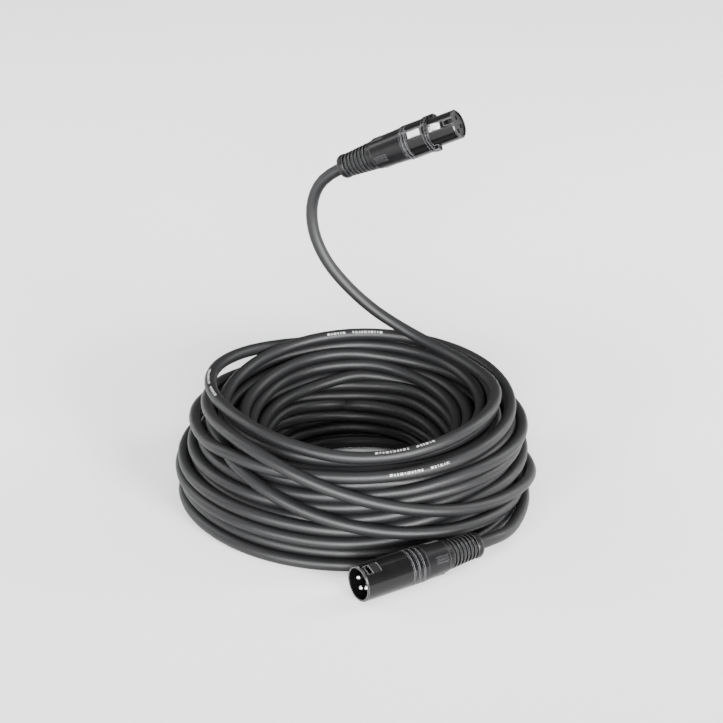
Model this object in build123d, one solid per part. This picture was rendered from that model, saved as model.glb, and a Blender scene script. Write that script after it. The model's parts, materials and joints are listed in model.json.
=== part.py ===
from build123d import *
import math
import os

# A coiled microphone cable with a female and a male three-pole connector.
# Millimetres, +Z up. The coil lies flat on z = 0 and the origin is the middle of
# the whole part's footprint. The female end stands up out of the coil on its own
# stiff cable, and the male end lies on the floor against the front of the coil.

# --- driving dimensions ---------------------------------------------------------

cable_r = 3.25
coil_y = 17.0
coil_floor_out_r = 96.0
coil_floor_in_r = 43.0
coil_height = 61.0
coil_top_out_r = 83.0
coil_top_in_r = 71.0
coil_shoulder = 5.0

male_rear = (63.3, -64.4, 9.3)
male_axis = (-0.830, -0.557, 0.0)
male_latch_side = (0.198, -0.295, 0.9345)
male_shell_r = 9.3
male_length = 73.0

female_rear = (-6.5, 92.0, 155.5)
female_axis = (0.838, -0.321, 0.439)
female_latch_side = (-0.553, -0.698, 0.454)
female_shell_r = 9.5
female_length = 74.0

nose_r = 7.95
cavity_r = 8.15
cavity_depth = 16.0
thread_r = 7.9
male_thread_length = 7.0
female_thread_length = 3.8
thread_gap = 0.06
rear_gap = 0.2
body_gap = 0.3
edge = 0.3
relief_bore_r = 3.6
jacket_start = 8.0
relief_end_r = 6.4
relief_big_r = 7.9
bushing_rear_r = 8.3
bushing_front_r = 9.1
relief_length = 22.5
relief_flange = 2.5
relief_flange_r = 6.6
male_bushing_front = 36.5
female_bushing_front = 42.0
chuck_r = 5.2
pole_circle_r = 3.8
pin_r = 1.2
pin_seat_r = 1.5
contact_r = 1.9
contact_bore_r = 1.25
core_r = 0.75
core_bend_r = 1.2
core_lead_in = 1.0
core_in_cup = 3.6
cup_depth = 2.6
latch_width = 3.4
latch_window_width = 4.0

# --- routes of the cable where it isn't coiled ----------------------------------
# Corner points, relative to the middle of the coil on the floor. Each lead also has
# one corner straight behind its connector, that far from where it leaves the sleeve.

female_exit_run = 10.0
male_exit_run = 7.0

female_lead_points = [
    (63.0, 34.0, 57.0),
    (49.0, 52.0, 57.5),
    (31.0, 67.0, 61.5),
    (12.0, 73.5, 71.5),
    (-3.0, 76.5, 84.5),
    (-15.6, 79.0, 99.5),
    (-23.0, 81.3, 117.0),
    (-23.2, 81.7, 135.5),
]
male_lead_points = [
    (79.3, -62.6, 6.0),
    (85.5, -44.5, 3.9),
    (89.8, -26.5, 3.25),
    (91.2, -8.0, 3.25),
]
loose_loop_points = [
    (-11.0, 82.0, 50.0),
    (-35.0, 73.0, 52.5),
    (-57.0, 56.5, 56.0),
    (-72.5, 34.5, 58.5),
    (-77.5, 10.5, 59.0),
    (-72.5, -12.5, 58.5),
    (-60.0, -35.5, 58.0),
    (-42.5, -56.5, 57.0),
    (-19.0, -71.5, 55.5),
]


# --- helpers --------------------------------------------------------------------

def polar(radius, angle_deg):
    turn = math.radians(angle_deg)
    return (radius * math.cos(turn), radius * math.sin(turn))


def unit(vector):
    return Vector(*vector).normalized()


def connector_plane(rear, axis, latch_side):
    """Local +Z is the connector's axis towards its mating face, +Y its latch side."""
    z_dir = unit(axis)
    side = Vector(*latch_side)
    y_dir = (side - z_dir * side.dot(z_dir)).normalized()
    return Plane(origin=rear, x_dir=y_dir.cross(z_dir), z_dir=z_dir)


male_plane = connector_plane(male_rear, male_axis, male_latch_side)
female_plane = connector_plane(female_rear, female_axis, female_latch_side)


def turned(points):
    """Revolve (radius, height) corners about the local Z axis."""
    outline = make_face(Polyline(*[(r, 0, z) for r, z in points], close=True))
    return revolve(outline, Axis.Z, 360)


def tube(outer, inner, low, high):
    return turned([(inner, low), (outer, low), (outer, high), (inner, high)])


def rod(radius, low, high, x=0.0, y=0.0):
    return Pos(x, y, (low + high) / 2) * Cylinder(radius, high - low)


def block(x_size, y_low, y_high, z_low, z_high):
    size_y = y_high - y_low
    size_z = z_high - z_low
    middle = Pos(0, (y_low + y_high) / 2, (z_low + z_high) / 2)
    return middle * Box(x_size, size_y, size_z)


def along_pole(shape, angle_deg):
    x, y = polar(pole_circle_r, angle_deg)
    return Pos(x, y, 0) * shape


def write(name, shape, plane=None):
    placed = plane.location * shape if plane else shape
    placed.label = name
    export_step(placed, f"parts/{name}.step")


pole_angles = {"1": 180.0, "2": 0.0, "3": 270.0}


# --- pieces that both connectors have --------------------------------------------

def bend_relief():
    """Soft ribbed sleeve; a flange at its front is held inside the bushing."""
    ring_count = 7
    ring_pitch = 2.35
    groove_width = 1.0
    groove_depth = 1.2
    first_groove = 4.6
    collar_end = 3.6

    def skin_r(z):
        share = (z - collar_end) / (relief_length - collar_end)
        return relief_end_r + (relief_big_r - relief_end_r) * max(share, 0.0)

    collar_r = relief_end_r + 0.3
    outline = [(relief_bore_r, 0.0), (collar_r - 1.7, 0.0), (collar_r - 0.6, 0.7)]
    outline += [(collar_r, 2.0), (collar_r, collar_end)]
    for ring in range(ring_count):
        low = first_groove + ring * ring_pitch
        high = low + groove_width
        outline += [(skin_r(low), low - edge), (skin_r(low) - groove_depth, low)]
        outline += [(skin_r(high) - groove_depth, high), (skin_r(high), high + edge)]
    top = relief_length + relief_flange
    outline += [(relief_big_r, relief_length - edge), (relief_big_r, relief_length)]
    outline += [(relief_flange_r, relief_length), (relief_flange_r, top)]
    outline += [(relief_bore_r, top)]
    return turned(outline)


def bushing(front, thread_length):
    """Threaded end cap that screws into the shell and closes the chuck."""
    rear = relief_length + rear_gap
    seat = relief_length + relief_flange + body_gap
    thread_top = front + thread_length
    rear_chamfer = 0.5
    wedge_length = 3.0
    thread_wall = 1.9
    outline = [
        (relief_flange_r + thread_gap, rear),
        (bushing_rear_r - rear_chamfer, rear),
        (bushing_rear_r, rear + rear_chamfer),
        (bushing_front_r, front - body_gap),
        (thread_r, front - body_gap),
        (thread_r, thread_top),
        (thread_r - thread_wall, thread_top),
        (chuck_r + body_gap, seat + wedge_length),
        (relief_flange_r + thread_gap, seat),
    ]
    cap = turned(outline)
    rib_low = rear + 1.6
    rib_length = min(7.0, front - rear - 4.0)
    rib_width = 0.7
    rib_depth = 2.0
    rib_out = 0.45
    rib_step_deg = 10.0
    for side in (45.0, 135.0, 225.0, 315.0):
        for step in (-1, 0, 1):
            taper = (bushing_front_r - bushing_rear_r) / (front - rear)
            out_r = bushing_rear_r + taper * (rib_low - rear) + rib_out
            middle = Pos(out_r - rib_depth / 2, 0, rib_low + rib_length / 2)
            rib = middle * Box(rib_depth, rib_width, rib_length)
            cap += Rot(0, 0, side + step * rib_step_deg) * rib
    return cap


def chuck(top):
    """Split collet that the bushing squeezes onto the jacket."""
    low = relief_length + relief_flange + 2 * body_gap
    slot_depth = 6.0
    slot_width = 0.8
    nose_depth = 1.1
    nose_length = 3.0
    collet = turned([
        (cable_r, low),
        (chuck_r - nose_depth, low),
        (chuck_r, low + nose_length),
        (chuck_r, top),
        (cable_r, top),
    ])
    for angle in (45.0, 165.0, 285.0):
        slot = Pos(chuck_r / 2 + 1.0, 0, low + slot_depth / 2)
        collet -= Rot(0, 0, angle) * slot * Box(chuck_r, slot_width, slot_depth)
    return collet


def cable_end(jacket_top):
    return rod(cable_r, jacket_start, jacket_top)


def core(low, high, angle_deg, start):
    """One stripped conductor, from the jacket's end out to its solder cup."""
    x, y = polar(pole_circle_r, angle_deg)
    route = FilletPolyline(
        (start[0], start[1], low),
        (start[0], start[1], low + core_lead_in),
        (x, y, high - core_in_cup),
        (x, y, high),
        radius=core_bend_r,
    )
    section = Plane(origin=route @ 0, z_dir=route % 0) * Circle(core_r)
    return sweep(section, path=route)


# --- male connector ---------------------------------------------------------------

male_jacket_top = 34.5
male_chuck_top = 33.8
male_cup_low = 40.5
male_insert_low = 45.0
male_insert_high = male_length - cavity_depth
male_tip = 71.4
groove_depth = 0.45


def male_shell():
    rear = male_bushing_front
    rim_chamfer = 0.45
    window_width = 5.4
    window = (67.6, 70.2)
    recess_width = 7.4
    recess_floor = male_shell_r - 0.5
    recess_margin = (4.6, 0.7)
    body = turned([
        (thread_r + thread_gap, rear),
        (male_shell_r - edge, rear),
        (male_shell_r, rear + edge),
        (male_shell_r, male_length - rim_chamfer),
        (male_shell_r - rim_chamfer, male_length),
        (cavity_r, male_length),
        (cavity_r, male_insert_low),
        (thread_r + thread_gap, male_insert_low),
    ])
    for low in (39.0, 42.0, 45.0):
        body -= tube(male_shell_r + 1.0, male_shell_r - groove_depth, low, low + 0.9)
    low, high = window
    body -= block(window_width, cavity_r - 2.0, male_shell_r + 2.0, low, high)
    low -= recess_margin[0]
    high += recess_margin[1]
    return body - block(recess_width, recess_floor, male_shell_r + 2.0, low, high)


def male_insert():
    key_width = 2.2
    key_top = male_length - 8.0
    body = rod(cavity_r, male_insert_low, male_insert_high)
    body += block(key_width, cavity_r - 1.4, cavity_r - 0.2, male_insert_high, key_top)
    for angle in pole_angles.values():
        body -= along_pole(rod(pin_seat_r, male_insert_low - 1, male_insert_high + 1), angle)
    return body


def male_pin():
    cup = tube(pin_seat_r, core_r, male_cup_low, male_insert_low)
    seat = rod(pin_seat_r, male_insert_low, male_insert_high)
    shank = turned([
        (0, male_insert_high),
        (pin_r, male_insert_high),
        (pin_r, male_tip - 0.9),
        (pin_r - 0.55, male_tip - 0.15),
        (0.3, male_tip),
        (0, male_tip),
    ])
    return cup + seat + shank


# --- female connector ---------------------------------------------------------------

female_jacket_top = 38.0
female_chuck_top = 37.0
female_cup_low = 45.5
female_insert_low = 50.0
female_insert_high = female_length - 1.0
female_bore_r = 6.95
collar_low = 56.0
collar_high = 58.4
collar_out = 0.55
lug_width = 4.2
lug_length = 3.0
channel_floor = 2.9
latch_pivot_z = 47.9
latch_pivot_y = 6.0
latch_bar_low_y = 5.3
latch_bar_high_y = 6.4
latch_pin_r = 0.55
latch_pin_gap = 0.05
latch_pin_length = 10.6
latch_low = 46.9
latch_high = 66.2
channel_high = 70.6
contact_top = 71.8
contact_floor = 1.6
thumb_window = (46.4, 55.6)
hook_window = (59.0, 66.8)
key_slot_width = 3.0
key_slot_floor = 5.0
key_slot_low = 68.8


def female_shell():
    rear = female_bushing_front
    thread_top = rear + female_thread_length + 0.4
    collar_edge = 0.4
    nose_edge = 0.5
    body = turned([
        (thread_r + thread_gap, rear),
        (female_shell_r - edge, rear),
        (female_shell_r, rear + edge),
        (female_shell_r, collar_low),
        (female_shell_r + collar_out, collar_low + collar_edge),
        (female_shell_r + collar_out, collar_high - collar_edge),
        (female_shell_r, collar_high),
        (nose_r, collar_high),
        (nose_r, female_length - nose_edge),
        (nose_r - nose_edge, female_length),
        (female_bore_r, female_length),
        (female_bore_r, thread_top),
        (thread_r + thread_gap, thread_top),
    ])
    for low in (43.1, 45.1):
        body -= tube(female_shell_r + 1.0, female_shell_r - groove_depth, low, low + 0.8)
    lug_low = collar_high - collar_edge
    lug_out = female_shell_r + collar_out
    lug = block(lug_width, nose_r - 0.5, lug_out, lug_low, lug_low + lug_length)
    for side in (90.0, 270.0):
        body += Rot(0, 0, side) * lug
    for low, high in (thumb_window, hook_window):
        body -= block(latch_window_width, 4.0, female_shell_r + 3.0, low, high)
    return body - key_slot() - latch_axle()


def key_slot():
    """Way in for the male insert's key, in the nose's rim and in the insert's face."""
    return block(key_slot_width, key_slot_floor, female_shell_r, key_slot_low, female_length + 1)


def female_insert():
    body = rod(female_bore_r, female_insert_low, female_insert_high)
    below = female_insert_low - 1
    above = female_insert_high + 1
    body -= block(latch_window_width, channel_floor, female_shell_r, below, channel_high)
    for angle in pole_angles.values():
        body -= along_pole(rod(contact_r, below, contact_top), angle)
        body -= along_pole(rod(contact_bore_r + 0.1, contact_top - 1, above), angle)
    return body - key_slot()


def female_contact():
    cup = tube(pin_seat_r, core_r, female_cup_low, female_insert_low)
    bore_low = female_insert_low + contact_floor
    floor = rod(contact_r, female_insert_low, bore_low)
    sleeve = tube(contact_r, contact_bore_r, bore_low, contact_top)
    return cup + floor + sleeve


def female_latch():
    """Push-to-release lever: thumb pad at the rear, hook at the nose, pivot between."""
    thumb_y = female_shell_r - 0.1
    hook_y = nose_r + 0.55
    outline = [
        (latch_bar_low_y, latch_low),
        (7.2, latch_low),
        (thumb_y, latch_low + 0.5),
        (thumb_y, collar_low - 1.1),
        (latch_bar_high_y, collar_low - 0.7),
        (latch_bar_high_y, 61.0),
        (hook_y, 61.4),
        (hook_y, 62.7),
        (nose_r - 0.6, 65.0),
        (nose_r - 0.6, latch_high),
        (latch_bar_low_y, latch_high),
    ]
    face = make_face(Polyline(*[(0, y, z) for y, z in outline], close=True))
    lever = extrude(face, latch_width / 2, dir=(1, 0, 0), both=True)
    return lever - latch_axle(latch_pin_gap)


def latch_axle(gap=0.0):
    """Short axle across the thumb window, seated in the wall on both sides."""
    axle = Cylinder(latch_pin_r + gap, latch_pin_length)
    return Pos(0, latch_pivot_y, latch_pivot_z) * Rot(0, 90, 0) * axle


def female_latch_spring():
    """Folded leaf between the channel's floor and the underside of the lever."""
    thick = 0.22
    width = 2.2
    low_y = channel_floor
    high_y = latch_bar_low_y - 0.03
    outline = [
        (low_y, 55.0),
        (low_y, 61.0),
        (high_y - 0.35, 55.2),
        (high_y, 54.8),
        (high_y, 54.2),
        (high_y - thick - 0.35, 54.2),
        (low_y + thick, 60.0),
        (low_y + thick, 55.0),
    ]
    face = make_face(Polyline(*[(0, y, z) for y, z in outline], close=True))
    return extrude(face, width / 2, dir=(1, 0, 0), both=True)


# --- the cable ----------------------------------------------------------------------

def on_floor(points):
    return [Vector(x, y + coil_y, z) for x, y, z in points]


def corner_radii(points):
    """0.45 of the shorter run beside each corner, over the tangent of half its turn."""
    radii = []
    for before, corner, after in zip(points, points[1:], points[2:]):
        run_in = corner - before
        run_out = after - corner
        half_turn = math.radians(run_in.get_angle(run_out)) / 2
        radii.append(0.45 * min(run_in.length, run_out.length) / math.tan(half_turn))
    return radii


def cable_tube(name, points):
    radii = corner_radii(points)
    path = FilletPolyline(*points, radius=radii)
    section = Plane(origin=path @ 0, z_dir=path % 0) * Circle(cable_r)
    solid = sweep(section, path=path)
    share = solid.volume / (math.pi * cable_r**2 * path.length)
    print(name, "arc radii", [round(r, 1) for r in radii], "length", round(path.length, 1))
    print(name, "volume over section times length", round(share, 4))
    return solid


def coil():
    """Outer shape of the heap of turns: a steep ring with an open, bowl-shaped middle."""
    rest_margin = 20.0
    ring = turned([
        (coil_floor_in_r, 0),
        (coil_floor_out_r - cable_r, 0),
        (coil_floor_out_r, cable_r),
        (coil_floor_out_r, 2 * cable_r),
        (coil_top_out_r + coil_shoulder / 2, coil_height - coil_shoulder),
        (coil_top_out_r, coil_height),
        (coil_top_in_r, coil_height),
        (coil_floor_in_r, 2 * cable_r),
    ])
    ring = Pos(0, coil_y, 0) * ring
    rest = rod(male_shell_r + 0.8, -rest_margin, male_length + rest_margin)
    return ring - male_plane.location * rest


def on_axis(plane, distance):
    """Point on a connector's axis; negative distances are out along the cable."""
    return plane.origin + plane.z_dir * distance


def female_lead():
    points = on_floor(female_lead_points)
    points += [on_axis(female_plane, -female_exit_run), on_axis(female_plane, jacket_start)]
    return cable_tube("cable_lead_female", points)


def male_lead():
    points = [on_axis(male_plane, jacket_start), on_axis(male_plane, -male_exit_run)]
    points += on_floor(male_lead_points)
    return cable_tube("cable_lead_male", points)


def loose_loop():
    return cable_tube("cable_loose_loop", on_floor(loose_loop_points))


# --- write every piece ----------------------------------------------------------------

os.makedirs("parts", exist_ok=True)

core_starts = {"1": (-1.4, -0.6), "2": (1.4, -0.6), "3": (0.0, 1.4)}
core_names = {"1": "screen_tail", "2": "core_red", "3": "core_white"}

write("male_shell", male_shell(), male_plane)
write("male_insert", male_insert(), male_plane)
write("male_chuck", chuck(male_chuck_top), male_plane)
write("male_bushing", bushing(male_bushing_front, male_thread_length), male_plane)
write("male_bend_relief", bend_relief(), male_plane)
write("male_cable_end", cable_end(male_jacket_top), male_plane)
for pole, angle in pole_angles.items():
    write(f"male_pin_{pole}", along_pole(male_pin(), angle), male_plane)
    wire = core(male_jacket_top, male_cup_low + cup_depth, angle, core_starts[pole])
    write(f"male_{core_names[pole]}", wire, male_plane)

write("female_shell", female_shell(), female_plane)
write("female_insert", female_insert(), female_plane)
write("female_latch", female_latch(), female_plane)
write("female_latch_pin", latch_axle(), female_plane)
write("female_latch_spring", female_latch_spring(), female_plane)
write("female_chuck", chuck(female_chuck_top), female_plane)
write("female_bushing", bushing(female_bushing_front, female_thread_length), female_plane)
write("female_bend_relief", bend_relief(), female_plane)
write("female_cable_end", cable_end(female_jacket_top), female_plane)
for pole, angle in pole_angles.items():
    write(f"female_contact_{pole}", along_pole(female_contact(), angle), female_plane)
    wire = core(female_jacket_top, female_cup_low + cup_depth, angle, core_starts[pole])
    write(f"female_{core_names[pole]}", wire, female_plane)

write("cable_coil", coil())
write("cable_lead_female", female_lead())
write("cable_lead_male", male_lead())
write("cable_loose_loop", loose_loop())
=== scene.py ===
"""Looks of a coiled microphone cable with two three-pole connectors."""
import json
import math

import bmesh
import bpy
import numpy as np
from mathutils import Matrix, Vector


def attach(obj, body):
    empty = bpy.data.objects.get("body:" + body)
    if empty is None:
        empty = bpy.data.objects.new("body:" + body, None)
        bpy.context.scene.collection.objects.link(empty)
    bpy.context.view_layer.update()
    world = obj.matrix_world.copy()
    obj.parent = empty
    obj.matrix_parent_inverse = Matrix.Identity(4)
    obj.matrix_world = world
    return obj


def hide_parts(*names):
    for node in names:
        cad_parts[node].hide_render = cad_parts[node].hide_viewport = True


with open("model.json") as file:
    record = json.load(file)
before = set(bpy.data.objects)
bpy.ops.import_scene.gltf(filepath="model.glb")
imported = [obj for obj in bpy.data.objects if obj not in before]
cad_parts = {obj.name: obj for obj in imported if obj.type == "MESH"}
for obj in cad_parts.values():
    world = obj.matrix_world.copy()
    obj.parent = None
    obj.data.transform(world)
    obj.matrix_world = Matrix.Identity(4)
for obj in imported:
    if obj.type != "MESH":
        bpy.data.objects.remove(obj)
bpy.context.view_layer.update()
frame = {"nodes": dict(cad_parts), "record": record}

# --- camera -----------------------------------------------------------------------

CAMERA_PLACE = (0.0043, -1.0501, 0.5489)
CAMERA_DOWN_DEG = 24.0
CAMERA_LENS = 110.54
CAMERA_SENSOR = 36.0
CAMERA_CLIP = (0.05, 20.0)


def make_camera():
    data = bpy.data.cameras.new("camera")
    data.lens = CAMERA_LENS
    data.sensor_width = CAMERA_SENSOR
    data.clip_start, data.clip_end = CAMERA_CLIP
    camera = bpy.data.objects.new("camera", data)
    camera.location = CAMERA_PLACE
    camera.rotation_euler = (math.radians(90.0 - CAMERA_DOWN_DEG), 0.0, 0.0)
    bpy.context.scene.collection.objects.link(camera)
    bpy.context.scene.camera = camera


make_camera()

# --- places that the cable shares with the CAD model -------------------------------

CABLE_R = 0.00325
COIL_MIDDLE = np.array([0.0, 0.017, 0.0])
MALE_REAR = np.array([0.0633, -0.0644, 0.0093])
MALE_AXIS = np.array([-0.830, -0.557, 0.0])
FEMALE_REAR = np.array([-0.0065, 0.0920, 0.1555])
FEMALE_AXIS = np.array([0.838, -0.321, 0.439])
MALE_AXIS = MALE_AXIS / np.linalg.norm(MALE_AXIS)
FEMALE_AXIS = FEMALE_AXIS / np.linalg.norm(FEMALE_AXIS)
# How far inside each sleeve the jacket starts, and where its first control point outside lies.
JACKET_START = 0.008
MALE_EXIT_RUN = 0.007
FEMALE_EXIT_RUN = 0.010

# Route points round the coil's middle, from the male end to the female end.
MALE_LEAD = [
    (0.0793, -0.0626, 0.0060), (0.0855, -0.0445, 0.0039),
    (0.0898, -0.0265, 0.00325), (0.0912, -0.0080, 0.00325),
]
LOOSE_LOOP = [
    (-0.0110, 0.0820, 0.0500), (-0.0350, 0.0730, 0.0525), (-0.0570, 0.0565, 0.0560),
    (-0.0725, 0.0345, 0.0585), (-0.0775, 0.0105, 0.0590), (-0.0725, -0.0125, 0.0585),
    (-0.0600, -0.0355, 0.0580), (-0.0425, -0.0565, 0.0570), (-0.0190, -0.0715, 0.0555),
]
TOP_FRONT = [
    (0.0000, -0.0752, 0.0540), (0.0220, -0.0735, 0.0545), (0.0440, -0.0635, 0.0565),
    (0.0620, -0.0460, 0.0580), (0.0735, -0.0230, 0.0585), (0.0760, 0.0040, 0.0585),
]
# The first points of the female lead still lie on the heap.
LYING_POINTS = 4
FEMALE_LEAD = [
    (0.0630, 0.0340, 0.0570), (0.0490, 0.0520, 0.0575), (0.0310, 0.0670, 0.0615),
    (0.0120, 0.0735, 0.0715), (-0.0030, 0.0765, 0.0845), (-0.0156, 0.0790, 0.0995),
    (-0.0230, 0.0813, 0.1170), (-0.0232, 0.0817, 0.1355),
]

# --- the winding -------------------------------------------------------------------
# All turns share the same stations round the middle. A strand is a (radius, height) at each
# station that it passes, and the heap has turns in layers with the last few laid over them.

SEED = 5
STATIONS = 36
STATION_DEG = 360.0 / STATIONS
# Strands rest a little over one diameter apart, and clear of the connector on the floor.
CLEAR = 0.0066
PLUG_CLEAR = 0.0093 + CABLE_R + 0.0003
PLUG_SPAN = (-0.008, 0.080)

# Radius of the heap's outer and inner side at these heights, by direction.
WALL_HEIGHTS = np.array([0.00325, 0.015, 0.027, 0.038, 0.044, 0.050, 0.0575])
OUTER = {
    0: (0.0912, 0.0912, 0.0912, 0.0905, 0.0900, 0.0885, 0.0850),
    90: (0.0930, 0.0910, 0.0885, 0.0855, 0.0840, 0.0820, 0.0785),
    150: (0.0930, 0.0930, 0.0890, 0.0800, 0.0745, 0.0715, 0.0700),
    180: (0.0930, 0.0930, 0.0905, 0.0835, 0.0790, 0.0760, 0.0740),
    270: (0.0928, 0.0900, 0.0860, 0.0825, 0.0805, 0.0790, 0.0770),
}
INNER = {
    0: (0.0450, 0.0465, 0.0500, 0.0570, 0.0610, 0.0660, 0.0730),
    90: (0.0490, 0.0530, 0.0585, 0.0645, 0.0675, 0.0705, 0.0735),
    180: (0.0460, 0.0470, 0.0490, 0.0520, 0.0540, 0.0570, 0.0660),
    270: (0.0470, 0.0500, 0.0550, 0.0610, 0.0650, 0.0690, 0.0720),
}
# Height of the top layer's middle line, by direction.
HEAP_TOP = {
    0: 0.0450, 60: 0.0435, 90: 0.0435, 140: 0.0415,
    180: 0.0405, 220: 0.0425, 270: 0.0435, 320: 0.0450,
}
# The layers, the spacing of turns in one before they settle, and the height up to which the
# heap's width says how many turns each layer has.
LAYERS = 9
ACROSS = 0.0100
LAYERS_TOP = 0.0460
# A turn moves to its next slot over this share of a turn, which starts between these shares.
CHANGE_SHARE = 0.33
CHANGE_START = (0.03, 0.15)

# Uneven hand winding: (stations between bends, metres) of each drift, and how much of it the
# last turns take.
DRIFTS = ((57, 0.0014), (31, 0.0009), (19, 0.0004), (101, 0.0014))
OVER_DRIFT = 0.3
# How unevenly single strands keep back from the heap's inner side.
SETBACK_REACH = 2.5
SETBACK_LIMITS = (-0.0025, 0.0065)

# How the winding relaxes. The last turns give way little and keep near their goal. Layered
# ones give way fully, sink, and leave room for the last turns at the heap's outer side.
ROUNDS = 500
OVER_GIVE = 0.15
OVER_PULL = 0.25
LAYER_PULL = 0.03
PULL_FADES = 0.7
SMOOTHING = 0.5
SINK = 0.00002
PUSHES = 2
PUSH_SHARE = 0.6
OVER_ROOM = 0.0060
OVER_REACH = 0.006

# The last turns, which lie over the others: degrees along the winding, radius, height.
OVER_TURNS = [
    (30, 0.0715, 0.0480), (60, 0.0750, 0.0495), (90, 0.0770, 0.0515), (120, 0.0768, 0.0480),
    (150, 0.0735, 0.0450), (180, 0.0752, 0.0450), (195, 0.0760, 0.0460), (210, 0.0770, 0.0472),
    (227, 0.0817, 0.0412), (240, 0.0838, 0.0330), (250, 0.0854, 0.0288), (263, 0.0867, 0.0238),
    (282, 0.0883, 0.0165), (295, 0.0893, 0.0140), (311, 0.0903, 0.0122), (331, 0.0906, 0.0098),
    (360, 0.0900, 0.0098), (385, 0.0905, 0.0112), (420, 0.0925, 0.0200), (460, 0.0895, 0.0350),
    (500, 0.0815, 0.0425), (520, 0.0775, 0.0462), (540, 0.0750, 0.0490), (547, 0.0748, 0.0505),
    (565, 0.0757, 0.0545), (582, 0.0770, 0.0577), (599, 0.0790, 0.0520), (614, 0.0807, 0.0458),
    (626, 0.0827, 0.0383), (643, 0.0850, 0.0305), (656, 0.0864, 0.0242), (672, 0.0874, 0.0205),
    (694, 0.0886, 0.0162), (723, 0.0928, 0.0065), (750, 0.0930, 0.0080), (780, 0.0935, 0.0110),
    (810, 0.0925, 0.0180), (850, 0.0895, 0.0320), (890, 0.0850, 0.0415), (920, 0.0800, 0.0425),
    (940, 0.0788, 0.0440), (990, 0.0795, 0.0458), (1020, 0.0805, 0.0465), (1050, 0.0830, 0.0485),
    (1080, 0.0845, 0.0515), (1110, 0.0820, 0.0550), (1140, 0.0785, 0.0575), (1170, 0.0763, 0.0580),
    (1200, 0.0750, 0.0555), (1230, 0.0722, 0.0492), (1260, 0.0692, 0.0482), (1290, 0.0685, 0.0505),
    (1320, 0.0695, 0.0510), (1350, 0.0695, 0.0495), (1400, 0.0710, 0.0515), (1440, 0.0742, 0.0512),
    (1470, 0.0778, 0.0497), (1500, 0.0812, 0.0497), (1530, 0.0828, 0.0498),
]


def eased(share):
    """Smooth step from 0 to 1."""
    return share * share * (3.0 - 2.0 * share)


def beside_mean(strand):
    """Weighted mean of each inner place and the two beside it."""
    return 0.25 * strand[:-2] + 0.5 * strand[1:-1] + 0.25 * strand[2:]


def by_direction(table, degrees):
    """A table's value at any direction, eased between the directions it gives."""
    keys = sorted(table)
    turn = np.asarray(degrees, float) % 360.0
    ends = np.array(keys + [keys[0] + 360.0])
    values = np.array([table[key] for key in keys] + [table[keys[0]]], float)
    low = np.clip(np.searchsorted(ends, turn, side="right") - 1, 0, len(keys) - 1)
    share = eased((turn - ends[low]) / (ends[low + 1] - ends[low]))
    if values.ndim > 1:
        share = share[..., None]
    return values[low] * (1.0 - share) + values[low + 1] * share


def wall_radius(table, height, degrees):
    """Radius of the heap's side at a height and a direction."""
    height, degrees = np.broadcast_arrays(np.asarray(height, float), np.asarray(degrees, float))
    rows = by_direction(table, degrees)
    low = np.searchsorted(WALL_HEIGHTS, height, side="right") - 1
    low = np.clip(low, 0, len(WALL_HEIGHTS) - 2)
    step = WALL_HEIGHTS[low + 1] - WALL_HEIGHTS[low]
    share = np.clip((height - WALL_HEIGHTS[low]) / step, 0.0, 1.0)
    below = np.take_along_axis(rows, low[..., None], -1)[..., 0]
    above = np.take_along_axis(rows, low[..., None] + 1, -1)[..., 0]
    return below * (1.0 - share) + above * share


def layer_slots():
    """(share across, share of height) of each turn, layer by layer, to and fro."""
    sample_degrees = np.arange(0, 360, 30)
    slots = []
    for layer in range(LAYERS):
        share = layer / (LAYERS - 1)
        height = CABLE_R + share * (LAYERS_TOP - CABLE_R)
        widths = wall_radius(OUTER, height, sample_degrees) - wall_radius(INNER, height, sample_degrees)
        count = max(round(float(np.mean(widths)) / ACROSS) + 1, 2)
        across = np.linspace(1.0, 0.0, count)
        if layer % 2:
            across = across[::-1]
        slots += [(place, share) for place in across]
    return np.array(slots)


def slot_place(slot, degrees):
    """(radius, height) of a slot in one direction."""
    height = CABLE_R + slot[..., 1] * (by_direction(HEAP_TOP, degrees) - CABLE_R)
    inner = wall_radius(INNER, height, degrees)
    outer = wall_radius(OUTER, height, degrees)
    return np.stack([inner + (outer - inner) * slot[..., 0], height], -1)


def layered_turns(random):
    """The strand's first guess, each turn moving into its next slot behind the heap."""
    slots = layer_slots()
    count = len(slots) - 1
    station = np.arange(count * STATIONS)
    turn = station // STATIONS
    along = (station % STATIONS) / STATIONS
    start = random.uniform(*CHANGE_START, count)[turn]
    share = eased(np.clip((along - start) / CHANGE_SHARE, 0.0, 1.0))[:, None]
    slot = slots[turn] * (1.0 - share) + slots[turn + 1] * share
    return slot_place(slot, (station % STATIONS) * STATION_DEG)


def over_turns():
    """The first station of the last turns, and their (radius, height) from there on."""
    points = np.array(OVER_TURNS)
    first = math.ceil(points[0, 0] / STATION_DEG) * STATION_DEG
    degrees = np.arange(first, points[-1, 0] + 0.1, STATION_DEG)
    radius = np.interp(degrees, points[:, 0], points[:, 1])
    height = np.interp(degrees, points[:, 0], points[:, 2])
    strand = np.stack([radius, height], 1)
    for _ in range(3):
        strand[1:-1] = beside_mean(strand)
    return int(first / STATION_DEG), strand


def slow_wander(count, random):
    """A slow drift of radius and height along the strand, in metres."""
    drift = np.zeros((count, 2))
    for period, amount in DRIFTS:
        knots = random.normal(0.0, amount, (count // period + 3, 2))
        place = np.arange(count) / period
        low = place.astype(int)
        share = eased(place - low)[:, None]
        drift += knots[low] * (1.0 - share) + knots[low + 1] * share
    return drift


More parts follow.
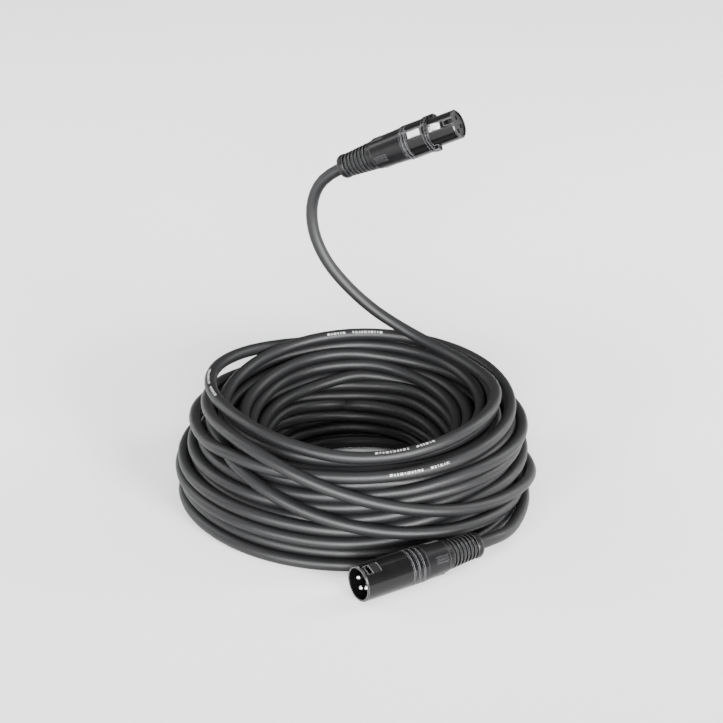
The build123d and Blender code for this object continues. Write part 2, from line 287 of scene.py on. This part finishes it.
def crossings(route):
    """(station, radius, height) wherever a route passes a station."""
    points = np.array(route)
    degrees = np.degrees(np.unwrap(np.arctan2(points[:, 1], points[:, 0])))
    radius = np.hypot(points[:, 0], points[:, 1])
    found = []
    for station in range(STATIONS):
        for lap in (-360.0, 0.0, 360.0):
            at = station * STATION_DEG + lap
            if degrees[0] <= at <= degrees[-1]:
                height = np.interp(at, degrees, points[:, 2])
                found.append((station, np.interp(at, degrees, radius), height))
    return found


def off_the_plug(places, present):
    """Move strands up and sideways out of a cylinder round the connector on the floor."""
    turn = np.radians(np.arange(STATIONS) * STATION_DEG)
    outward = np.stack([np.cos(turn), np.sin(turn), np.zeros(STATIONS)], -1)[:, None]
    points = places[..., :1] * outward
    points[..., 2] = places[..., 1]
    offset = points - (MALE_REAR - COIL_MIDDLE)
    along = offset @ MALE_AXIS
    across = offset - along[..., None] * MALE_AXIS
    distance = np.linalg.norm(across, axis=-1) + 1e-9
    inside = present & (along > PLUG_SPAN[0]) & (along < PLUG_SPAN[1]) & (distance < PLUG_CLEAR)
    push = np.where(inside, PLUG_CLEAR - distance, 0.0)
    normal = across / distance[..., None]
    way = np.stack([(normal * outward).sum(-1), normal[..., 2]], -1)
    way /= np.linalg.norm(way, axis=-1, keepdims=True) + 1e-9
    return places + push[..., None] * way


def strand_grid(strand, fixed_places):
    """Places by (station, row): the strand's turns, then the fixed places, then empty ones."""
    station = np.arange(len(strand)) % STATIONS
    row = np.arange(len(strand)) // STATIONS
    rows = row[-1] + 1
    spare = max(np.bincount([place[0] for place in fixed_places], minlength=STATIONS))
    places = np.full((STATIONS, rows + spare, 2), np.nan)
    places[station, row] = strand
    filled = [rows] * STATIONS
    for at, radius, height in fixed_places:
        places[at, filled[at]] = (radius, height)
        filled[at] += 1
    present = ~np.isnan(places[..., 0])
    # Empty ones stand far away and apart, where they touch nothing.
    far_away = 10.0 + np.arange(places.shape[1])[None, :, None] * 0.05
    return station, row, present, np.where(present[..., None], places, far_away)


def spread_out(values, shape, station, row):
    """The strand's values on the grid, and zero elsewhere."""
    grid = np.zeros(shape, values.dtype)
    grid[station, row] = values
    return grid


def pushed_apart(places, own_share):
    """Move strands that are too near away from each other, each by its own share."""
    apart = places[:, :, None, :] - places[:, None, :, :]
    distance = np.sqrt((apart ** 2).sum(-1)) + 1e-9
    deep = np.clip(CLEAR - distance, 0.0, None)
    np.einsum("sii->si", deep)[:] = 0.0
    return places + PUSH_SHARE * ((deep * own_share / distance)[..., None] * apart).sum(2)


def radius_in_heap(places, over, setback):
    """Each place's radius, kept between the heap's sides and inside the last turns."""
    degrees = (np.arange(STATIONS) * STATION_DEG)[:, None]
    outer = wall_radius(OUTER, places[..., 1], degrees)
    inner = wall_radius(INNER, places[..., 1], degrees) + setback
    gap = places[:, :, None, 1] - places[:, None, :, 1]
    near_over = OVER_ROOM * np.exp(-(gap / OVER_REACH) ** 2)
    room = np.where(over[:, None, :], near_over, 0.0).max(2)
    return np.clip(places[..., 0], inner, outer - room)


def settle(strand, goal, held, setback, fixed_places):
    """Relax the winding: smooth along the strand, no two strands in one place."""
    station, row, present, places = strand_grid(strand, fixed_places)
    shape = places.shape[:2]
    give = spread_out(np.where(held, OVER_GIVE, 1.0), shape, station, row)
    over = spread_out(held, shape, station, row)
    setback = spread_out(setback, shape, station, row)
    target = places.copy()
    target[station, row] = goal
    moves = present & (give > 0)
    free = moves & ~over
    pull = np.where(moves, np.where(over, OVER_PULL, LAYER_PULL), 0.0)[..., None]
    both = give[:, :, None] + give[:, None, :]
    own_share = np.where(both > 0, give[:, :, None] / np.maximum(both, 1e-9), 0.0)
    for step in range(ROUNDS):
        chain = places[station, row]
        chain[1:-1] += SMOOTHING * (beside_mean(chain) - chain[1:-1])
        places[station, row] = chain
        places = places + pull * (1.0 - PULL_FADES * step / ROUNDS) * (target - places)
        places[..., 1] -= np.where(free, SINK, 0.0)
        for _ in range(PUSHES):
            places = pushed_apart(places, own_share)
        places[..., 1] = np.maximum(places[..., 1], CABLE_R)
        places[..., 0] = np.where(free, radius_in_heap(places, over, setback), places[..., 0])
        places = off_the_plug(places, present)
    return places[station, row]


def wound_points():
    """Control points of all turns, round the coil's middle."""
    random = np.random.default_rng(SEED)
    layered = layered_turns(random)
    lead_in, over = over_turns()
    share = eased(np.arange(1, lead_in + 1) / (lead_in + 1))[:, None]
    joining = layered[-1] * (1.0 - share) + over[0] * share
    strand = np.concatenate([layered, joining, over])
    held = np.arange(len(strand)) >= len(layered) + lead_in
    drift = slow_wander(len(strand), random) * np.where(held, OVER_DRIFT, 1.0)[:, None]
    setback = np.clip(SETBACK_REACH * slow_wander(len(strand), random)[:, 0], *SETBACK_LIMITS)
    fixed = crossings(LOOSE_LOOP + TOP_FRONT + FEMALE_LEAD[:LYING_POINTS]) + crossings(MALE_LEAD)
    settled = settle(strand, strand + drift, held, setback, fixed)
    turn = np.radians((np.arange(len(settled)) % STATIONS) * STATION_DEG)
    return np.stack([settled[:, 0] * np.cos(turn), settled[:, 0] * np.sin(turn), settled[:, 1]], 1)


def cable_route():
    """Every control point of the cable, from inside one sleeve to inside the other."""
    middle = np.concatenate([MALE_LEAD, wound_points(), LOOSE_LOOP, TOP_FRONT, FEMALE_LEAD])
    start = [MALE_REAR + MALE_AXIS * JACKET_START, MALE_REAR - MALE_AXIS * MALE_EXIT_RUN]
    end = [FEMALE_REAR - FEMALE_AXIS * FEMALE_EXIT_RUN, FEMALE_REAR + FEMALE_AXIS * JACKET_START]
    return np.concatenate([start, middle + COIL_MIDDLE, end])


# How many steps the line takes from one control point to the next, and how finely it is rounded.
LINE_STEPS = 4
RIM_STEPS = 5


def curve_object(name, route, bevel):
    """A smooth line along the route's control points, round if it has a bevel."""
    data = bpy.data.curves.new(name, "CURVE")
    data.dimensions = "3D"
    data.resolution_u = LINE_STEPS
    spline = data.splines.new("NURBS")
    spline.points.add(len(route) - 1)
    for point, place in zip(spline.points, route):
        point.co = (*place, 1.0)
    spline.order_u = 3
    spline.use_endpoint_u = True
    spline.use_smooth = True
    data.bevel_depth = bevel
    data.bevel_resolution = RIM_STEPS
    data.use_fill_caps = bevel > 0
    curve = bpy.data.objects.new(name, data)
    bpy.context.scene.collection.objects.link(curve)
    return curve


def centreline(route):
    """Points of the route's own smooth line, in order."""
    bare = curve_object("bare_line", route, 0.0)
    mesh = bpy.data.meshes.new_from_object(bare)
    line = np.array([tuple(vertex.co) for vertex in mesh.vertices])
    bpy.data.meshes.remove(mesh)
    bpy.data.objects.remove(bare)
    return line


# --- materials ---------------------------------------------------------------------

def new_material(name):
    """A new material, its nodes and links, and its shader."""
    material = bpy.data.materials.new(name)
    material.use_nodes = True
    nodes = material.node_tree.nodes
    return material, nodes, material.node_tree.links, nodes["Principled BSDF"]


def noise(nodes, links, size, detail=2.0, stretch=None):
    """Noise in object space with features of that size, in metres."""
    place = nodes.new("ShaderNodeTexCoord").outputs["Object"]
    if stretch:
        mapping = nodes.new("ShaderNodeMapping")
        mapping.inputs["Scale"].default_value = stretch
        links.new(place, mapping.inputs["Vector"])
        place = mapping.outputs["Vector"]
    texture = nodes.new("ShaderNodeTexNoise")
    texture.inputs["Scale"].default_value = 1.0 / size
    texture.inputs["Detail"].default_value = detail
    links.new(place, texture.inputs["Vector"])
    return texture.outputs["Fac"]


def ranged(nodes, links, value, low, high, start=0.3, end=0.7):
    """Map a noise value onto a range."""
    step = nodes.new("ShaderNodeMapRange")
    step.inputs["From Min"].default_value = start
    step.inputs["From Max"].default_value = end
    step.inputs["To Min"].default_value = low
    step.inputs["To Max"].default_value = high
    links.new(value, step.inputs["Value"])
    return step.outputs["Result"]


def mixed(nodes, links, factor, first, second):
    """A colour between two, each a plain colour or another node's output."""
    mix = nodes.new("ShaderNodeMix")
    mix.data_type = "RGBA"
    links.new(factor, mix.inputs["Factor"])
    for socket, colour in ((mix.inputs["A"], first), (mix.inputs["B"], second)):
        if isinstance(colour, tuple):
            socket.default_value = (*colour, 1.0)
        else:
            links.new(colour, socket)
    return mix.outputs["Result"]


def edge_highlight_and_wear(nodes, links, width):
    """About 1 on sharp edges and 0 on faces, where the paler colour is a painted highlight that also
    stands for wear.
    """
    rounded = nodes.new("ShaderNodeBevel")
    rounded.inputs["Radius"].default_value = width
    rounded.samples = 4
    plain = nodes.new("ShaderNodeNewGeometry")
    likeness = nodes.new("ShaderNodeVectorMath")
    likeness.operation = "DOT_PRODUCT"
    links.new(rounded.outputs["Normal"], likeness.inputs[0])
    links.new(plain.outputs["Normal"], likeness.inputs[1])
    return ranged(nodes, links, likeness.outputs["Value"], 1.0, 0.0, 0.86, 0.985)


def bump(nodes, links, shader, height, depth):
    """Relief from a height of 0 to 1, that deep in metres."""
    relief = nodes.new("ShaderNodeBump")
    relief.inputs["Distance"].default_value = depth
    links.new(height, relief.inputs["Height"])
    links.new(relief.outputs["Normal"], shader.inputs["Normal"])


# Width of the paler rim along an edge: a painted highlight that also stands for wear.
EDGE_HIGHLIGHT_WIDTH = 0.00022


def grained(name, dark, light, rough, grain, depth, patch=0.012, edge_highlight_colour=None, specular=0.3):
    """Moulded or coated surface: fine grain, slow patches, and, if asked, paler edges painted on as a
    highlight that also stands for wear.
    """
    material, nodes, links, shader = new_material(name)
    shader.inputs["Specular IOR Level"].default_value = specular
    patches = noise(nodes, links, patch)
    fine = noise(nodes, links, grain, 4.0)
    colour = mixed(nodes, links, ranged(nodes, links, patches, 0.0, 1.0), dark, light)
    if edge_highlight_colour:
        # Paler colour on sharp edges: a painted highlight, also standing for wear.
        edge_highlight = edge_highlight_and_wear(nodes, links, EDGE_HIGHLIGHT_WIDTH)
        colour = mixed(nodes, links, edge_highlight, colour, edge_highlight_colour)
    links.new(colour, shader.inputs["Base Color"])
    links.new(ranged(nodes, links, fine, rough[0], rough[1]), shader.inputs["Roughness"])
    bump(nodes, links, shader, fine, depth)
    return material


def brushed(name, colour, rough, direction):
    """Bright metal with fine drawn lines across the given direction."""
    material, nodes, links, shader = new_material(name)
    shader.inputs["Metallic"].default_value = 1.0
    lines = noise(nodes, links, 0.0009, 3.0, stretch=direction)
    darker = tuple(0.82 * part for part in colour)
    shade = mixed(nodes, links, ranged(nodes, links, lines, 0.0, 1.0), darker, colour)
    links.new(shade, shader.inputs["Base Color"])
    links.new(ranged(nodes, links, lines, rough[0], rough[1]), shader.inputs["Roughness"])
    bump(nodes, links, shader, lines, 0.00001)
    return material


def twisted_copper():
    """Fine copper strands that run along a tail."""
    material, nodes, links, shader = new_material("tinned_copper")
    shader.inputs["Metallic"].default_value = 1.0
    strands = noise(nodes, links, 0.0004, 2.0, stretch=(1.0, 1.0, 0.25))
    amount = ranged(nodes, links, strands, 0.0, 1.0)
    shade = mixed(nodes, links, amount, (0.45, 0.22, 0.12), (0.85, 0.52, 0.34))
    links.new(shade, shader.inputs["Base Color"])
    links.new(ranged(nodes, links, strands, 0.25, 0.45), shader.inputs["Roughness"])
    bump(nodes, links, shader, strands, 0.0001)
    return material


def print_paint():
    """Pale printing ink, thin enough for the jacket to show through in places."""
    material, nodes, links, shader = new_material("print_white")
    worn = noise(nodes, links, 0.0007, 3.0)
    cover = ranged(nodes, links, worn, 0.0, 1.0, 0.36, 0.5)
    shade = mixed(nodes, links, cover, (0.02, 0.02, 0.02), (0.30, 0.30, 0.30))
    links.new(shade, shader.inputs["Base Color"])
    links.new(ranged(nodes, links, worn, 0.5, 0.65), shader.inputs["Roughness"])
    return material


# A grained slot: darker and paler colour, range of roughness, grain size and depth in metres.
# A brushed slot: colour, range of roughness, and how closely its lines lie along x, y and z.
# Pale colours painted on the black parts' edges as a highlight, also standing for wear.
BLACK_EDGE_HIGHLIGHT = (0.24, 0.24, 0.25)
MATERIALS = {
    "jacket": grained("jacket", (0.0030, 0.0031, 0.0035), (0.0052, 0.0053, 0.0058),
                      (0.44, 0.54), 0.0005, 0.00004, patch=0.03, specular=0.34),
    "shell_black": grained("shell_black", (0.0018, 0.0018, 0.0020), (0.0032, 0.0032, 0.0034),
                           (0.14, 0.22), 0.00025, 0.00001, edge_highlight_colour=BLACK_EDGE_HIGHLIGHT, specular=0.30),
    "bushing_black": grained("bushing_black", (0.0030, 0.0030, 0.0033), (0.0052, 0.0052, 0.0055),
                             (0.26, 0.34), 0.0004, 0.00002, edge_highlight_colour=(0.10, 0.10, 0.104), specular=0.20),
    "sleeve_rubber": grained("sleeve_rubber", (0.0022, 0.0022, 0.0024), (0.0040, 0.0040, 0.0042),
                             (0.32, 0.42), 0.0004, 0.00003, edge_highlight_colour=(0.13, 0.13, 0.134), specular=0.22),
    "insert_black": grained("insert_black", (0.0022, 0.0022, 0.0022), (0.0040, 0.0040, 0.0040),
                            (0.42, 0.55), 0.0004, 0.00002, edge_highlight_colour=(0.04, 0.04, 0.04)),
    "chuck_plastic": grained("chuck_plastic", (0.30, 0.30, 0.28), (0.38, 0.37, 0.35),
                             (0.40, 0.50), 0.0005, 0.00002),
    "core_red": grained("core_red", (0.40, 0.020, 0.015), (0.52, 0.030, 0.020),
                        (0.35, 0.45), 0.0004, 0.00001),
    "core_white": grained("core_white", (0.70, 0.70, 0.67), (0.80, 0.80, 0.78),
                          (0.35, 0.45), 0.0004, 0.00001),
    "latch_metal": brushed("latch_metal", (0.97, 0.97, 0.96), (0.42, 0.55), (1.0, 1.0, 0.2)),
    "spring_steel": brushed("spring_steel", (0.62, 0.62, 0.64), (0.25, 0.35), (1.0, 1.0, 0.2)),
    "axle_steel": brushed("axle_steel", (0.60, 0.60, 0.62), (0.22, 0.30), (0.2, 1.0, 1.0)),
    "pin_silver": brushed("pin_silver", (0.92, 0.91, 0.88), (0.14, 0.24), (1.0, 1.0, 0.3)),
    "contact_silver": brushed("contact_silver", (0.90, 0.89, 0.86), (0.18, 0.28), (1.0, 1.0, 0.3)),
    "copper": twisted_copper(),
}


def finish_cad_nodes():
    """Give every CAD node the material of its slot in the record."""
    for part in frame["record"]["subparts"]:
        node = frame["nodes"][part["node"]]
        node.data.materials.clear()
        node.data.materials.append(MATERIALS[part["material_slot"]])


# --- the cable and its printed marks --------------------------------------------------


def make_cable(route):
    cable = curve_object("cable", route, CABLE_R)
    cable.data.materials.append(MATERIALS["jacket"])
    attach(cable, "root")
    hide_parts("cable_coil", "cable_lead_female", "cable_lead_male", "cable_loose_loop")
    return cable


# A row of printed ticks starts beside each place and faces that way.
PRINT_ROWS = [
    ("print_top_front", (0.010, -0.056, 0.0545), (0.0, -0.35, 1.0)),
    ("print_second_front", (0.018, -0.060, 0.0456), (0.0, -0.95, 0.55)),
    ("print_loop_left", (-0.0745, 0.034, 0.0605), (-0.3, -0.5, 1.0)),
    ("print_back_top", (0.017, 0.091, 0.0575), (0.0, -0.75, 0.75)),
]
TICK_LENGTHS = (0.0015, 0.0008, 0.0008, 0.0015, 0.0008)
TICK_COUNT = 16
TICK_GAP = 0.0007
WORD_GAP = 0.0035
WORD_AFTER = 10
TICK_HALF_ANGLE = 0.19
TICK_POINTS = 6
TANGENT_REACH = 0.001
INK_LIFT = 0.00006


def point_at(line, lengths, at):
    """The place at that length along the line, and the line's direction there."""
    place = np.array([np.interp(at, lengths, line[:, axis]) for axis in range(3)])
    ahead = np.array([np.interp(at + TANGENT_REACH, lengths, line[:, axis]) for axis in range(3)])
    tangent = (ahead - place) / np.linalg.norm(ahead - place)
    return place, tangent


def tick_section(form, centre, tangent, facing):
    """A closed ring round a thin patch of the jacket, on the side that faces that way."""
    up = np.array(facing) - tangent * np.dot(facing, tangent)
    up /= np.linalg.norm(up)
    side = np.cross(tangent, up)
    arcs = []
    for radius in (CABLE_R + INK_LIFT, CABLE_R - INK_LIFT):
        arc = []
        for turn in np.linspace(-TICK_HALF_ANGLE, TICK_HALF_ANGLE, TICK_POINTS):
            place = centre + radius * (math.cos(turn) * up + math.sin(turn) * side)
            arc.append(form.verts.new(place))
        arcs.append(arc)
    return arcs[0] + arcs[1][::-1]


def add_tick(form, line, lengths, at, length, facing):
    """One closed thin tick that follows the jacket."""
    sections = []
    for share in (0.0, 0.5, 1.0):
        centre, tangent = point_at(line, lengths, at + share * length)
        sections.append(tick_section(form, centre, tangent, facing))
    around = len(sections[0])
    for first, second in zip(sections, sections[1:]):
        for corner in range(around):
            after = (corner + 1) % around
            form.faces.new((first[corner], first[after], second[after], second[corner]))
    form.faces.new(sections[0][::-1])
    form.faces.new(sections[-1])


def print_row(name, place, facing, line, ink):
    """A row of plain ticks along the cable that stands for printed words."""
    lengths = np.concatenate([[0.0], np.cumsum(np.linalg.norm(np.diff(line, axis=0), axis=1))])
    nearest = int(np.argmin(np.linalg.norm(line - np.array(place), axis=1)))
    at = lengths[nearest]
    form = bmesh.new()
    for tick in range(TICK_COUNT):
        length = TICK_LENGTHS[tick % len(TICK_LENGTHS)]
        add_tick(form, line, lengths, at, length, facing)
        at += length + TICK_GAP + (WORD_GAP if tick + 1 == WORD_AFTER else 0.0)
    bmesh.ops.recalc_face_normals(form, faces=form.faces)
    mesh = bpy.data.meshes.new(name)
    form.to_mesh(mesh)
    form.free()
    mesh.materials.append(ink)
    row = bpy.data.objects.new(name, mesh)
    bpy.context.scene.collection.objects.link(row)
    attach(row, "root")


route = cable_route()
ink = print_paint()
cable = make_cable(route)
line = centreline(route)
for name, place, facing in PRINT_ROWS:
    print_row(name, place, facing, line, ink)
finish_cad_nodes()


# --- floor and light -----------------------------------------------------------------

FLOOR_HALF = 6.0


def make_floor():
    mesh = bpy.data.meshes.new("floor")
    far, near = FLOOR_HALF, -FLOOR_HALF
    corners = [(near, near, 0.0), (far, near, 0.0), (far, far, 0.0), (near, far, 0.0)]
    mesh.from_pydata(corners, [], [(0, 1, 2, 3)])
    floor = bpy.data.objects.new("floor", mesh)
    bpy.context.scene.collection.objects.link(floor)
    material, nodes, links, shader = new_material("floor_pale")
    cloudy = noise(nodes, links, 0.5)
    amount = ranged(nodes, links, cloudy, 0.0, 1.0)
    shade = mixed(nodes, links, amount, (0.91, 0.91, 0.91), (0.95, 0.95, 0.95))
    links.new(shade, shader.inputs["Base Color"])
    shader.inputs["Roughness"].default_value = 0.8
    shader.inputs["Specular IOR Level"].default_value = 0.1
    mesh.materials.append(material)


# The key light is a wide low bank of soft sources in front of the part: (across, strength).
KEY_SIDES = ((-0.75, 5.0), (0.0, 9.0), (0.75, 9.5))
KEY_RISE = 0.28
KEY_WIDTH_DEG = 24.0
# The other lights are panels: name, place, aim, size and power.
PANELS = (
    ("overhead", (0.0, 0.25, 1.20), (0.0, 0.0, 0.0), (0.9, 0.5), 4.0),
    ("side_right", (1.00, 0.35, 0.55), (0.0, 0.0, 0.05), (0.25, 0.9), 12.0),
    ("side_left", (-1.00, 0.35, 0.55), (0.0, 0.0, 0.05), (0.25, 0.9), 8.0),
)
WORLD_STRENGTH = 0.34


def make_panel(name, place, aim, size, power):
    data = bpy.data.lights.new(name, "AREA")
    data.shape = "RECTANGLE"
    data.size, data.size_y = size
    data.energy = power
    light = bpy.data.objects.new(name, data)
    light.location = place
    light.rotation_euler = (Vector(aim) - Vector(place)).to_track_quat("-Z", "Y").to_euler()
    bpy.context.scene.collection.objects.link(light)


def make_key(across, strength):
    """A large soft source, far away in front and low."""
    data = bpy.data.lights.new("key", "SUN")
    data.energy = strength
    data.angle = math.radians(KEY_WIDTH_DEG)
    light = bpy.data.objects.new("key", data)
    light.rotation_euler = Vector((across, -1.00, KEY_RISE)).to_track_quat("Z", "Y").to_euler()
    bpy.context.scene.collection.objects.link(light)


def make_world():
    world = bpy.data.worlds.new("studio")
    world.use_nodes = True
    background = world.node_tree.nodes["Background"]
    background.inputs["Color"].default_value = (1.0, 1.0, 1.0, 1.0)
    background.inputs["Strength"].default_value = WORLD_STRENGTH
    bpy.context.scene.world = world


make_floor()
make_world()
for across, strength in KEY_SIDES:
    make_key(across, strength)
for panel in PANELS:
    make_panel(*panel)
